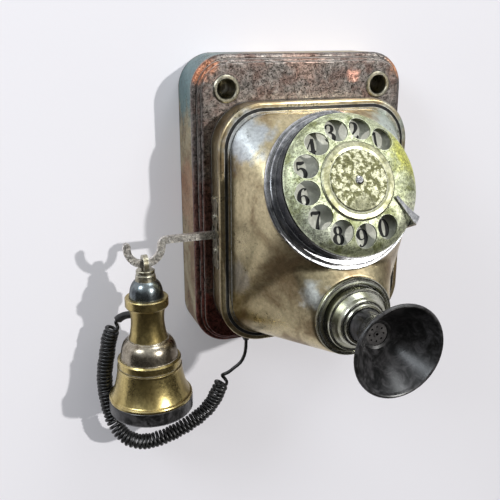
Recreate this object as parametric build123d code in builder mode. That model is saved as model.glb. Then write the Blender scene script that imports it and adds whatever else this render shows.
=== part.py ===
from build123d import *

import os
from math import acos, cos, degrees, hypot, pi, radians, sin, sqrt, tan

# A wall telephone: a flat back box, a pressed front housing with a tilted rotary dial and a
# fixed mouthpiece horn, and a receiver that hangs by its ring from a sprung hook lever.
# Millimetres. The origin is the middle of the back, against the wall. +X is to the right of
# someone facing the telephone, -Y comes out of the wall and +Z is up. "Depth" is distance
# from the wall.

os.makedirs("parts", exist_ok=True)

# Driving dimensions
SHEET = 1.6  # pressed brass and steel
GAP = 0.1  # between pieces that only locate each other
RUNNING = 0.05  # radial clearance of everything that turns

BOX_W, BOX_H, BOX_CORNER = 153.4, 200.0, 23.4
SIDE_DEPTH = 29.0  # the plain side band of the back box
FACE_DEPTH = 38.0  # the front of the back box
PLATE = 2.0  # wall plate
WALL_SCREW_X, WALL_SCREW_Z, WALL_SCREW_R = 55.1, 78.6, 2.75
EYELET_R, EYELET_BORE, EYELET_FLANGE_R = 7.5, 6.3, 8.85

FLANGE_W, FLANGE_H, FLANGE_CORNER, FLANGE_Z = 134.6, 161.7, 29.5, -9.25
SKIRT_INSET = 1.5  # the skirt stands inside the flange's edge
FLANGE_BACK, FLANGE_FRONT = 55.8, 59.6
GROOVE_IN, GROOVE_OUT, GROOVE_DEPTH = 5.5, 3.4, 58.0
BODY_INSET = 6.8
WALL = 2.0  # housing wall

DIAL_TILT = 24.4  # the dial looks up by this angle
DIAL_DEPTH, DIAL_Z = 114.4, 29.8
SEAT_BACK, SEAT_TOP, SEAT_BORE = -25.5, -23.0, 43.7
HOLES, HOLE_STEP, FIRST_HOLE = 10, 27.74, 49.0
HOLE_CIRCLE, HOLE_R = 32.6, 7.25

MOUTH_DEPTH, MOUTH_Z = 118.6, -54.8
BOSS_DEPTH, BOSS_R, BOSS_BORE = 117.0, 26.9, 22.0

HOOK_DEPTH, HOOK_Z, PIVOT_X = 45.0, -15.3, -42.0
BAR_HIGH, BAR_THICK = 4.8, 3.3
FORK_X, FORK_Z, FORK_R = -114.4, -18.8, 11.4

CORD_WIRE, CORD_COIL = 2.4, 11.4  # outer diameters of the wire and of its coil

# The cord's route, in points chosen by hand: the plain wire below the housing, then the coil
WIRE_ROUTE = [
    (-45.2, -47.0, -94.5),
    (-45.2, -47.0, -100.6),
    (-46.4, -47.0, -106.8),
    (-49.2, -46.9, -112.1),
    (-54.2, -46.5, -115.4),
]
COIL_ROUTE = [
    (-54.2, -46.5, -115.4),
    (-60.0, -46.04, -119.23),
    (-64.2, -45.0, -128.0),
    (-68.4, -44.0, -139.2),
    (-75.6, -43.3, -148.0),
    (-84.6, -42.6, -154.4),
    (-96.0, -42.0, -160.0),
    (-109.2, -41.0, -164.6),
    (-121.0, -38.0, -166.8),
    (-130.4, -33.0, -164.8),
    (-136.6, -28.0, -158.0),
    (-139.8, -24.0, -148.4),
    (-141.6, -22.0, -137.0),
    (-142.6, -21.6, -124.8),
    (-142.0, -22.0, -112.6),
    (-139.6, -23.4, -100.6),
    (-138.0, -23.7, -89.6),
    (-134.8, -25.3, -80.4),
    (-131.2, -28.3, -73.6),
]


def keep(built, name):
    """Label a finished piece and write it."""
    built.part.label = name
    export_step(built.part, f"parts/{name}.step")


def front(depth, x=0.0, z=0.0):
    """The plane parallel to the wall at a depth, drawn on as seen from the room."""
    return Plane(origin=(x, -depth, z), x_dir=(1, 0, 0), z_dir=(0, -1, 0))


class Station:
    """An axis with turned pieces on it. Heights are counted along it from its origin."""

    def __init__(self, origin, direction):
        self.origin = Vector(*origin)
        self.direction = Vector(*direction).normalized()
        self.axis = Axis(self.origin, self.direction)
        side = Vector(1, 0, 0).cross(self.direction)
        self.outline = Plane(origin=self.origin, x_dir=(1, 0, 0), z_dir=side)

    def across(self, height):
        """The plane square to the axis at a height."""
        place = self.origin + self.direction * height
        return Plane(origin=place, x_dir=(1, 0, 0), z_dir=self.direction)


def turn(points, station, mode=Mode.ADD):
    """Turn an outline of (radius, height) points about a station's axis."""
    with BuildSketch(station.outline) as drawn:
        with BuildLine():
            Polyline(*points, close=True)
        make_face()
    revolve(drawn.sketch, axis=station.axis, mode=mode)


def ring(station, inner, outer, low, high, mode=Mode.ADD):
    """A plain tube, or a disc where the inner radius is zero."""
    turn([(inner, low), (outer, low), (outer, high), (inner, high)], station, mode)


def turn_curved(curve, rest, station):
    """Turn an outline whose first side is one smooth curve and the rest straight."""
    with BuildSketch(station.outline) as drawn:
        with BuildLine():
            Spline(*curve)
            Polyline(curve[-1], *rest, curve[0])
        make_face()
    revolve(drawn.sketch, axis=station.axis)


def slab(width, height, corner, start, end, z=0.0, mode=Mode.ADD):
    """A rounded rectangle between two depths."""
    with BuildSketch(front(start, z=z)) as drawn:
        RectangleRounded(width, height, corner)
    extrude(drawn.sketch, amount=end - start, mode=mode)


def block(width, height, start, end, x=0.0, z=0.0, mode=Mode.ADD):
    """A plain rectangular block between two depths."""
    with BuildSketch(front(start, x, z)) as drawn:
        Rectangle(width, height)
    extrude(drawn.sketch, amount=end - start, mode=mode)


def peg(radius, start, end, x=0.0, z=0.0, mode=Mode.ADD):
    """A round peg square to the wall between two depths."""
    with BuildSketch(front(start, x, z)) as drawn:
        Circle(radius)
    extrude(drawn.sketch, amount=end - start, mode=mode)


def tube(route, diameter):
    """A round tube along a route of straight runs and tangent arcs."""
    with BuildLine() as path:
        FilletPolyline(*route, radius=arc_radii(route))
    with BuildSketch(Plane(origin=path.line @ 0, z_dir=path.line % 0)) as section:
        Circle(diameter / 2)
    sweep(section.sketch, path=path.line)


def arc_radii(route):
    """The radius of the tangent arc at each inner point of a route."""
    radii = []
    for before, here, after in zip(route, route[1:], route[2:]):
        arriving = Vector(*here) - Vector(*before)
        leaving = Vector(*after) - Vector(*here)
        half_turn = radians(arriving.get_angle(leaving)) / 2
        radii.append(0.45 * min(arriving.length, leaving.length) / tan(half_turn))
    return radii


# Stations
dial = Station((0, -DIAL_DEPTH, DIAL_Z), (0, -cos(radians(DIAL_TILT)), sin(radians(DIAL_TILT))))
mouth = Station((0, -MOUTH_DEPTH, MOUTH_Z), (0, -1, 0))
hang = Station((FORK_X, -HOOK_DEPTH, 0), (0, 0, 1))

# ---------------------------------------------------------------- back box

inner_w, inner_h, inner_corner = BOX_W - 2 * SHEET, BOX_H - 2 * SHEET, BOX_CORNER - SHEET
LEDGE = 6.0  # width of the inward ledge that the wall plate is screwed against
CASE_SCREW_R = 1.5
CASE_SCREWS = [(x, z) for x in (-inner_w / 2 + LEDGE / 2, inner_w / 2 - LEDGE / 2) for z in (-40, 40)]

with BuildPart() as back_box:
    slab(BOX_W, BOX_H, BOX_CORNER, 0, SIDE_DEPTH)
    slab(inner_w, inner_h, inner_corner, 0, PLATE, mode=Mode.SUBTRACT)
    slab(
        inner_w - 2 * LEDGE,
        inner_h - 2 * LEDGE,
        inner_corner - LEDGE,
        PLATE,
        PLATE + SHEET,
        mode=Mode.SUBTRACT,
    )
    slab(inner_w, inner_h, inner_corner, PLATE + SHEET, SIDE_DEPTH, mode=Mode.SUBTRACT)
    for x, z in CASE_SCREWS:
        peg(CASE_SCREW_R, PLATE, PLATE + SHEET, x, z, Mode.SUBTRACT)
keep(back_box, "back_box")

with BuildPart() as wall_plate:
    slab(inner_w - 2 * GAP, inner_h - 2 * GAP, inner_corner - GAP, 0, PLATE)
    for side in (-1, 1):
        peg(WALL_SCREW_R, 0, PLATE, side * WALL_SCREW_X, WALL_SCREW_Z, Mode.SUBTRACT)
    for x, z in CASE_SCREWS:
        peg(CASE_SCREW_R, 0, PLATE, x, z, Mode.SUBTRACT)
keep(wall_plate, "wall_plate")

with BuildPart() as case_screws:
    for x, z in CASE_SCREWS:
        peg(CASE_SCREW_R, 0.2, PLATE + SHEET, x, z)
        peg(2.6, PLATE + SHEET, PLATE + 2 * SHEET, x, z)
        block(0.8, 5.4, PLATE + 1.5 * SHEET, PLATE + 2 * SHEET, x, z, Mode.SUBTRACT)
keep(case_screws, "case_screws")

# The cover steps forward in two rolled beads to a flat face. Each step is inset from the
# edge and reaches a depth, with its front edge rounded.
COVER_STEPS = [(0.0, 33.0, 2.4), (3.2, 36.0, 1.5), (5.2, FACE_DEPTH, 1.0)]
APERTURE_X, APERTURE_W, APERTURE_H, APERTURE_CORNER = 12.0, 50.0, 110.0, 8.0

with BuildPart() as face_cover:
    start = SIDE_DEPTH
    for inset, reach, rounding in COVER_STEPS:
        slab(BOX_W - 2 * inset, BOX_H - 2 * inset, BOX_CORNER - inset, start, reach)
        fillet(face_cover.edges().group_by(Axis.Y)[0], radius=rounding)
        start = reach - rounding
    start = SIDE_DEPTH
    for inset, reach, rounding in COVER_STEPS:
        deep = inset + SHEET
        slab(
            BOX_W - 2 * deep,
            BOX_H - 2 * deep,
            BOX_CORNER - deep,
            start,
            reach - SHEET,
            mode=Mode.SUBTRACT,
        )
        start = reach - SHEET
    with BuildSketch(front(FACE_DEPTH - 2 * SHEET)):
        with Locations((-WALL_SCREW_X, WALL_SCREW_Z), (WALL_SCREW_X, WALL_SCREW_Z)):
            Circle(EYELET_R + GAP)
        with Locations((APERTURE_X, FLANGE_Z)):
            RectangleRounded(APERTURE_W, APERTURE_H, APERTURE_CORNER)
    extrude(amount=3 * SHEET, mode=Mode.SUBTRACT)
keep(face_cover, "face_cover")

# Eyelets: cups that carry the wall screws, with a rolled flange on the face
EYELET_OUTLINE = [
    (WALL_SCREW_R, PLATE),
    (EYELET_R, PLATE),
    (EYELET_R, FACE_DEPTH),
    (EYELET_FLANGE_R, FACE_DEPTH),
    (EYELET_FLANGE_R, FACE_DEPTH + 0.6),
    (EYELET_FLANGE_R - 0.8, FACE_DEPTH + 1.2),
    (EYELET_BORE + 0.5, FACE_DEPTH + 1.2),
    (EYELET_BORE, FACE_DEPTH + 0.5),
    (EYELET_BORE, PLATE + SHEET),
    (WALL_SCREW_R, PLATE + SHEET),
]

with BuildPart() as wall_eyelets:
    for side in (-1, 1):
        turn(EYELET_OUTLINE, Station((side * WALL_SCREW_X, 0, WALL_SCREW_Z), (0, -1, 0)))
keep(wall_eyelets, "wall_eyelets")

# ---------------------------------------------------------------- front housing

BODY_W, BODY_H = FLANGE_W - 2 * BODY_INSET, FLANGE_H - 2 * BODY_INSET
BODY_CORNER = FLANGE_CORNER - BODY_INSET
BODY_LOW = FLANGE_Z - BODY_H / 2
LOBE_H = 101.0  # height of the lower lobe's root
DIAL_LOBE_R = 49.6
GLAND_X, GLAND_DEPTH, GLAND_R = -45.2, 47.0, 3.4
SLOT_H, SLOT_W, SLOT_Z = 9.4, 5.0, -13.7
PLATE_DEPTH, PLATE_SCREWS, PLATE_SCREW_R = 46.8, (-26.0, -2.8), 1.2
SKIRT_X = FLANGE_W / 2 - SKIRT_INSET
beside = Plane(origin=(-SKIRT_X, 0, 0), x_dir=(0, -1, 0), z_dir=(-1, 0, 0))  # the skirt's left side


def lobe(root_height, root_z, tip, radius, wall):
    """A lobe of the housing, from a rounded rectangle to a near circle on the tip plane."""
    side = 2 * (radius - wall)
    with BuildSketch(front(GROOVE_DEPTH - wall, z=root_z)) as root:
        RectangleRounded(BODY_W - 2 * wall, root_height - 2 * wall, BODY_CORNER - wall)
    with BuildSketch(tip) as end:
        RectangleRounded(side, side, side / 2 - 0.3)
    loft([root.sketch, end.sketch])


def lobes(wall):
    """Both lobes: their outsides, or their insides where the wall has a thickness."""
    lobe(BODY_H, FLANGE_Z, dial.across(SEAT_BACK if wall else SEAT_TOP), DIAL_LOBE_R, wall)
    lobe(LOBE_H, BODY_LOW + LOBE_H / 2, front(BOSS_DEPTH - wall, z=MOUTH_Z), BOSS_R, wall)


skirt_w, skirt_h = FLANGE_W - 2 * SKIRT_INSET, FLANGE_H - 2 * SKIRT_INSET
skirt_corner = FLANGE_CORNER - SKIRT_INSET

with BuildPart() as housing_inside:
    lobes(WALL)
    slab(
        skirt_w - 2 * WALL,
        skirt_h - 2 * WALL,
        skirt_corner - WALL,
        FACE_DEPTH,
        GROOVE_DEPTH - WALL,
        z=FLANGE_Z,
    )

with BuildPart() as front_housing:
    slab(FLANGE_W, FLANGE_H, FLANGE_CORNER, FLANGE_BACK, FLANGE_FRONT, z=FLANGE_Z)
    fillet(front_housing.edges().group_by(Axis.Y)[0], radius=1.6)
    slab(skirt_w, skirt_h, skirt_corner, FACE_DEPTH, FLANGE_BACK, z=FLANGE_Z)
    slab(
        FLANGE_W - 2 * GROOVE_OUT,
        FLANGE_H - 2 * GROOVE_OUT,
        FLANGE_CORNER - GROOVE_OUT,
        GROOVE_DEPTH,
        FLANGE_FRONT,
        z=FLANGE_Z,
        mode=Mode.SUBTRACT,
    )
    slab(
        FLANGE_W - 2 * GROOVE_IN,
        FLANGE_H - 2 * GROOVE_IN,
        FLANGE_CORNER - GROOVE_IN,
        GROOVE_DEPTH,
        FLANGE_FRONT + 0.4,
        z=FLANGE_Z,
    )
    lobes(0)
    add(housing_inside.part, mode=Mode.SUBTRACT)
    ring(dial, 0, SEAT_BORE, SEAT_BACK - WALL, SEAT_TOP + WALL, Mode.SUBTRACT)
    ring(mouth, 0, BOSS_BORE, -3 * WALL, WALL, Mode.SUBTRACT)
    with BuildSketch(beside.offset(-2 * WALL)):
        with Locations((HOOK_DEPTH, SLOT_Z)):
            Rectangle(SLOT_W, SLOT_H)
        with Locations(*((PLATE_DEPTH, z) for z in PLATE_SCREWS)):
            Circle(PLATE_SCREW_R)
    extrude(amount=3 * WALL, mode=Mode.SUBTRACT)
    with BuildSketch(Plane.XY.offset(FLANGE_Z - FLANGE_H / 2)):
        with Locations((GLAND_X, -GLAND_DEPTH)):
            Circle(GLAND_R + GAP)
    extrude(amount=4 * WALL, mode=Mode.SUBTRACT)
keep(front_housing, "front_housing")

with BuildPart() as flange_gasket:
    slab(
        FLANGE_W - 2 * GROOVE_OUT - GAP,
        FLANGE_H - 2 * GROOVE_OUT - GAP,
        FLANGE_CORNER - GROOVE_OUT - GAP / 2,
        GROOVE_DEPTH,
        FLANGE_FRONT - 0.6,
        z=FLANGE_Z,
    )
    slab(
        FLANGE_W - 2 * GROOVE_IN + GAP,
        FLANGE_H - 2 * GROOVE_IN + GAP,
        FLANGE_CORNER - GROOVE_IN + GAP / 2,
        GROOVE_DEPTH,
        FLANGE_FRONT,
        z=FLANGE_Z,
        mode=Mode.SUBTRACT,
    )
keep(flange_gasket, "flange_gasket")

# ---------------------------------------------------------------- dial, fixed pieces

NECK_R, NECK_BORE, NECK_TOP = 44.6, 43.0, -8.4
LAND = -18.0  # the bezel's upper land

BEZEL_OUTLINE = [
    (NECK_R + GAP, SEAT_TOP),
    (50.3, SEAT_TOP),
    (50.3, -21.9),
    (49.8, -21.3),
    (48.9, -21.3),
    (48.6, -21.7),
    (47.8, -21.7),
    (47.8, LAND - 0.5),
    (47.3, LAND),
    (NECK_R + GAP, LAND),
]

with BuildPart() as dial_bezel:
    turn(BEZEL_OUTLINE, dial)
keep(dial_bezel, "dial_bezel")

with BuildPart() as bezel_neck:
    ring(dial, NECK_BORE + 1.0, NECK_R, SEAT_TOP, NECK_TOP)
    ring(dial, NECK_BORE, NECK_R, NECK_TOP - 5.0, NECK_TOP)
keep(bezel_neck, "bezel_neck")

NUMBER_PLATE_R, NUMBER_PLATE_TOP, NUMBER_PLATE_BACK = 41.2, -7.4, -8.6

with BuildPart() as number_plate:
    ring(dial, 6.0, NUMBER_PLATE_R, NUMBER_PLATE_BACK, NUMBER_PLATE_TOP)
keep(number_plate, "number_plate")

SHAFT_R, AXLE_R = 2.5, 1.25
MODULE, PRESSURE = 0.8, 20.0
MAIN_TEETH, PINION_TEETH = 40, 10
CENTRES = MODULE * (MAIN_TEETH + PINION_TEETH) / 2 + 0.1
PULSE_ANGLE, GOVERNOR_ANGLE = 198.0, -18.0  # a main tooth points at each pinion
GEAR_LOW, GEAR_HIGH = -22.0, -20.0
FRAME_BACK = SEAT_BACK - SHEET
POST_CIRCLE, POST_ANGLES = 38.0, (90, 210, 330)
SPRING_STUD = 18.6


def beside_dial(angle, distance=CENTRES):
    """A station parallel to the dial's, at an angle and a distance from it."""
    away = dial.outline.x_dir * (distance * cos(radians(angle)))
    up = Vector(0, sin(radians(DIAL_TILT)), cos(radians(DIAL_TILT)))
    return Station(dial.origin + away + up * (distance * sin(radians(angle))), dial.direction)


pulse = beside_dial(PULSE_ANGLE)
governor = beside_dial(GOVERNOR_ANGLE)

with BuildPart() as dial_frame:
    ring(dial, 0, 46.4, FRAME_BACK, SEAT_BACK)
    ring(dial, 0, 5.0, FRAME_BACK - 4.0, SEAT_BACK + 1.5)
    ring(pulse, 0, 3.0, FRAME_BACK - 2.0, SEAT_BACK)
    ring(beside_dial(90, SPRING_STUD), 0, 1.0, SEAT_BACK, -12.0)
    for angle in POST_ANGLES:
        ring(beside_dial(angle, POST_CIRCLE), 0, 2.2, SEAT_BACK, NUMBER_PLATE_BACK)
    ring(dial, 0, SHAFT_R + RUNNING, FRAME_BACK - 5.0, SEAT_BACK + 2.0, Mode.SUBTRACT)
    for side_shaft in (pulse, governor):
        ring(side_shaft, 0, AXLE_R + RUNNING, FRAME_BACK - 5.0, SEAT_BACK + 1.0, Mode.SUBTRACT)
keep(dial_frame, "dial_frame")

# The return spring: a flat spiral of half circles from near the spindle to the stud
SPIRAL_FIRST, SPIRAL_GROWTH, SPIRAL_HALVES = 5.0, 1.3, 8

with BuildPart() as dial_spring:
    with BuildSketch(dial.across(-16.0)):
        with BuildLine():
            x, side = SPIRAL_FIRST, 1
            for half in range(SPIRAL_HALVES):
                far = x + SPIRAL_GROWTH
                middle = (side * (x - far) / 2, side * (x + far) / 2)
                ThreePointArc((side * x, 0), middle, (-side * far, 0))
                x, side = far, -side
            Line((side * x, 0), (side * x, 3.0))
        trace(line_width=0.6)
    extrude(amount=4.0)
keep(dial_spring, "dial_spring")

# The finger stop: an arm over the wheel, tapered towards its tip, with a leg on the land
STOP_ANGLE, STOP_TIP, STOP_OUT, STOP_LEG = -36.4, 25.2, 46.0, 1.3
stop_side = Plane(
    origin=dial.origin,
    x_dir=dial.across(0).x_dir.rotate(Axis((0, 0, 0), dial.direction), STOP_ANGLE),
    z_dir=dial.across(0).y_dir.rotate(Axis((0, 0, 0), dial.direction), STOP_ANGLE) * -1,
)
stop_plan = Plane(
    origin=dial.across(LAND).origin,
    x_dir=stop_side.x_dir,
    z_dir=dial.direction,
)

with BuildPart() as finger_stop:
    with BuildSketch(stop_side):
        with BuildLine():
            Polyline(
                (STOP_TIP, 2.0),
                (STOP_OUT - 1.7, -0.6),
                (STOP_OUT - STOP_LEG, -1.2),
                (STOP_OUT - STOP_LEG, LAND),
                (STOP_OUT, LAND),
                (STOP_OUT, -0.6),
                (STOP_OUT - 1.0, 0.8),
                (STOP_TIP, 3.4),
                close=True,
            )
        make_face()
    extrude(amount=8.0, both=True)
    with BuildSketch(stop_plan):
        with BuildLine():
            Polyline((43.0, 2.4), (STOP_OUT, 2.4), (STOP_OUT, -2.8), (43.0, -2.8))
            ThreePointArc((43.0, -2.8), (34.0, 0.5), (STOP_TIP + 1.0, 3.2))
            ThreePointArc((STOP_TIP + 1.0, 3.2), (STOP_TIP, 4.1), (STOP_TIP + 1.0, 5.0))
            ThreePointArc((STOP_TIP + 1.0, 5.0), (34.0, 3.3), (43.0, 2.4))
        make_face()
    extrude(amount=24.0, mode=Mode.INTERSECT)
keep(finger_stop, "finger_stop")

CUP_BACK = FRAME_BACK - 9.0

with BuildPart() as governor_cup:
    ring(governor, 0, 10.2, CUP_BACK, FRAME_BACK)
    ring(governor, 0, 9.0, CUP_BACK + 1.2, FRAME_BACK, Mode.SUBTRACT)
keep(governor_cup, "governor_cup")

with BuildPart() as pulse_contacts:
    with BuildSketch(dial.across(SEAT_BACK)):
        with Locations((-26.0, -18.5)):
            Rectangle(6.0, 5.0)
    extrude(amount=12.5)
    with BuildSketch(dial.across(-18.0)):
        with Locations((-25.2, -9.0), (-27.0, -9.0)):
            Rectangle(0.4, 20.0)
    extrude(amount=4.0)
keep(pulse_contacts, "pulse_contacts")

# ---------------------------------------------------------------- dial, turning pieces

WHEEL_TOP = 1.4

WHEEL_FACE = [(24.0, WHEEL_TOP), (32.6, 0.2), (38.5, -2.0), (42.2, -4.9), (43.4, -6.8)]
WHEEL_REST = [
    (44.1, -7.2),
    (44.1, -7.8),
    (43.3, -7.9),
    (42.6, -7.0),
    (41.2, -5.5),
    (37.8, -3.3),
    (32.2, -1.1),
    (24.0, 0.1),
    (SHAFT_R, 0.1),
    (SHAFT_R, WHEEL_TOP),
]

with BuildPart() as finger_wheel:
    turn_curved(WHEEL_FACE, WHEEL_REST, dial)
    with BuildSketch(dial.across(-10.0)):
        for hole in range(HOLES):
            angle = radians(FIRST_HOLE + hole * HOLE_STEP)
            with Locations((HOLE_CIRCLE * cos(angle), HOLE_CIRCLE * sin(angle))):
                Circle(HOLE_R)
    extrude(amount=14.0, mode=Mode.SUBTRACT)
keep(finger_wheel, "finger_wheel")

LABEL_R, LABEL_TOP, HUB_SCREW_R = 18.8, 3.2, 1.25

with BuildPart() as hub_ring:
    turn(
        [
            (LABEL_R, WHEEL_TOP),
            (23.9, WHEEL_TOP),
            (23.9, 2.0),
            (23.0, 2.7),
            (20.4, 2.9),
            (LABEL_R, 2.6),
        ],
        dial,
    )
keep(hub_ring, "hub_ring")

with BuildPart() as label_disc:
    turn(
        [
            (HUB_SCREW_R, WHEEL_TOP),
            (LABEL_R, WHEEL_TOP),
            (LABEL_R, 2.6),
            (LABEL_R - 0.8, LABEL_TOP),
            (HUB_SCREW_R, LABEL_TOP),
        ],
        dial,
    )
keep(label_disc, "label_disc")

with BuildPart() as hub_screw:
    ring(dial, 0, HUB_SCREW_R, -6.0, LABEL_TOP)
    turn([(0, LABEL_TOP), (2.6, LABEL_TOP), (2.4, 3.8), (1.6, 4.2), (0, 4.2)], dial)
    with BuildSketch(dial.across(3.7)):
        Rectangle(6.0, 0.8, rotation=30)
    extrude(amount=1.0, mode=Mode.SUBTRACT)
keep(hub_screw, "hub_screw")


def gear_outline(teeth, addendum, play=0.08):
    """The corners of a spur gear with straight-sided approximations of involute flanks."""
    pitch_r = MODULE * teeth / 2
    base_r = pitch_r * cos(radians(PRESSURE))
    radii = (pitch_r - 1.25 * MODULE, pitch_r, pitch_r + addendum)

    def half_width(radius):
        """Half the angle of a tooth at a radius."""
        slope = acos(min(1.0, base_r / radius))
        start = tan(radians(PRESSURE)) - radians(PRESSURE)
        return pi / (2 * teeth) - play / pitch_r + start - (tan(slope) - slope)

    corners = []
    for tooth in range(teeth):
        middle = 2 * pi * tooth / teeth
        for side, order in ((-1, radii), (1, radii[::-1])):
            for radius in order:
                angle = middle + side * half_width(radius)
                corners.append((radius * cos(angle), radius * sin(angle)))
    return corners


def gear(station, teeth, addendum):
    """A spur gear between the gears' common faces."""
    with BuildSketch(station.across(GEAR_LOW)) as drawn:
        with BuildLine():
            Polyline(*gear_outline(teeth, addendum), close=True)
        make_face()
    extrude(drawn.sketch, amount=GEAR_HIGH - GEAR_LOW)


with BuildPart() as drive_gear:
    gear(dial, MAIN_TEETH, 0.45)
    ring(dial, 0, SHAFT_R, FRAME_BACK - 6.0, WHEEL_TOP)
    ring(dial, 0, HUB_SCREW_R, -6.0, WHEEL_TOP, Mode.SUBTRACT)
keep(drive_gear, "drive_gear")

with BuildPart() as pulse_cam:
    gear(pulse, PINION_TEETH, MODULE)
    ring(pulse, 0, AXLE_R, FRAME_BACK - 2.4, -14.0)
    with BuildSketch(pulse.across(-17.0)):
        SlotCenterToCenter(5.2, 4.6)
    extrude(amount=2.0)
keep(pulse_cam, "pulse_cam")

with BuildPart() as governor_rotor:
    gear(governor, PINION_TEETH, MODULE)
    ring(governor, 0, AXLE_R, CUP_BACK + 1.6, GEAR_HIGH + 1.0)
    ring(governor, 0, 3.0, CUP_BACK + 2.6, CUP_BACK + 7.0)
    with BuildSketch(governor.across(CUP_BACK + 3.6)):
        Rectangle(15.6, 2.4)
        with Locations((-6.0, 0), (6.0, 0)):
            Circle(2.4)
    extrude(amount=2.4)
keep(governor_rotor, "governor_rotor")

# ---------------------------------------------------------------- mouthpiece

HORN_NECK_R, COLLAR_BACK = 10.8, -1.6

# From the bore outwards: the flat back, two rim beads, a deep groove, a step with a fine edge
# line, its sloped shoulder, a second groove and the ring that holds the horn's neck
COLLAR_OUTLINE = [
    (HORN_NECK_R + GAP, COLLAR_BACK),
    (25.8, COLLAR_BACK),
    (25.8, 0.4),
    (25.4, 0.9),
    (24.6, 0.9),
    (24.3, 0.4),
    (23.9, 0.4),
    (23.6, 1.2),
    (22.8, 1.7),
    (22.0, 1.3),
    (21.7, 0.4),
    (21.7, -0.8),
    (20.6, -0.8),
    (20.6, 5.2),
    (20.2, 6.0),
    (19.6, 6.1),
    (19.3, 5.6),
    (18.9, 5.6),
    (18.6, 6.6),
    (17.4, 8.2),
    (16.2, 9.6),
    (15.3, 11.4),
    (14.8, 12.0),
    (14.2, 12.0),
    (13.9, 11.2),
    (13.4, 11.2),
    (13.3, 13.2),
    (12.8, 14.0),
    (11.6, 14.2),
    (HORN_NECK_R + GAP, 13.6),
]

with BuildPart() as transmitter_collar:
    turn(COLLAR_OUTLINE, mouth)
keep(transmitter_collar, "transmitter_collar")

HORN_RIM, HORN_LENGTH, THROAT_R, THROAT_BORE, THROAT = 28.4, 53.6, 7.2, 6.0, 26.8

with BuildPart() as mouthpiece_horn:
    turn(
        [
            (THROAT_BORE, COLLAR_BACK),
            (HORN_NECK_R, COLLAR_BACK),
            (HORN_NECK_R, 14.5),
            (10.3, 17.0),
            (10.0, 23.0),
            (10.8, 28.0),
            (27.8, 51.0),
            (HORN_RIM, 52.0),
            (HORN_RIM, 52.8),
            (27.9, 53.4),
            (27.1, HORN_LENGTH),
            (26.4, 53.2),
            (25.6, 51.6),
            (9.0, 28.8),
            (THROAT_R, 28.2),
            (THROAT_R, THROAT),
            (THROAT_BORE, THROAT),
        ],
        mouth,
    )
keep(mouthpiece_horn, "mouthpiece_horn")

with BuildPart() as throat_disc:
    ring(mouth, 0, THROAT_R - GAP, THROAT, THROAT + 0.8)
    ring(mouth, 0.9, 1.8, THROAT + 0.8, THROAT + 1.3)
    with BuildSketch(mouth.across(THROAT - 1.0)):
        Circle(0.9)
        with PolarLocations(4.6, 8):
            Circle(0.6)
    extrude(amount=3.0, mode=Mode.SUBTRACT)
keep(throat_disc, "throat_disc")

CAPSULE_R, CAPSULE_FRONT, CAPSULE_BACK, CAPSULE_SHEET = 21.6, -1.7, -18.0, 1.2

with BuildPart() as transmitter_capsule:
    ring(mouth, 0, CAPSULE_R, CAPSULE_BACK, CAPSULE_FRONT)
    ring(
        mouth,
        0,
        CAPSULE_R - CAPSULE_SHEET,
        CAPSULE_BACK + CAPSULE_SHEET,
        CAPSULE_FRONT - CAPSULE_SHEET,
        Mode.SUBTRACT,
    )
    ring(mouth, 0, THROAT_BORE, CAPSULE_FRONT - CAPSULE_SHEET, CAPSULE_FRONT, Mode.SUBTRACT)
keep(transmitter_capsule, "transmitter_capsule")

with BuildPart() as transmitter_diaphragm:
    ring(mouth, 0, CAPSULE_R - CAPSULE_SHEET, -6.0, -5.6)
keep(transmitter_diaphragm, "transmitter_diaphragm")

with BuildPart() as carbon_chamber:
    ring(mouth, 0, 9.0, CAPSULE_BACK + CAPSULE_SHEET, -9.0)
    ring(mouth, 0, 4.0, -9.0, -6.0)
keep(carbon_chamber, "carbon_chamber")

# ---------------------------------------------------------------- hook lever and its switch

ESCUTCHEON, ESCUTCHEON_Z = 1.3, -13.8

with BuildPart() as escutcheon:
    with BuildSketch(beside):
        with Locations((PLATE_DEPTH, ESCUTCHEON_Z)):
            RectangleRounded(10.0, 44.0, 3.0)
            with GridLocations(6.0, 10.4, 2, 5):
                Circle(3.5)
        with Locations((HOOK_DEPTH, SLOT_Z)):
            Rectangle(SLOT_W, SLOT_H, mode=Mode.SUBTRACT)
        with Locations(*((PLATE_DEPTH, z) for z in PLATE_SCREWS)):
            Circle(PLATE_SCREW_R, mode=Mode.SUBTRACT)
    extrude(amount=ESCUTCHEON)
keep(escutcheon, "escutcheon")

with BuildPart() as escutcheon_screws:
    for z in PLATE_SCREWS:
        with BuildSketch(beside.offset(-WALL - 1.0)):
            with Locations((PLATE_DEPTH, z)):
                Circle(PLATE_SCREW_R)
        extrude(amount=WALL + 1.0 + ESCUTCHEON)
        with BuildSketch(beside.offset(ESCUTCHEON)):
            with Locations((PLATE_DEPTH, z)):
                Circle(2.1)
        extrude(amount=1.1, taper=12)
        with BuildSketch(beside.offset(ESCUTCHEON + 0.6)):
            with Locations((PLATE_DEPTH, z)):
                Rectangle(5.0, 0.6, rotation=35)
        extrude(amount=1.0, mode=Mode.SUBTRACT)
keep(escutcheon_screws, "escutcheon_screws")

PIN_R, HUB_R, CORNER_R = 1.98, 6.0, 3.4
TAIL_X = -26.0
FORK_END = 186.0  # the fork ends this far round from its right side
LEVER_BACK, LEVER_FRONT = HOOK_DEPTH - BAR_THICK / 2, HOOK_DEPTH + BAR_THICK / 2

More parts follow.
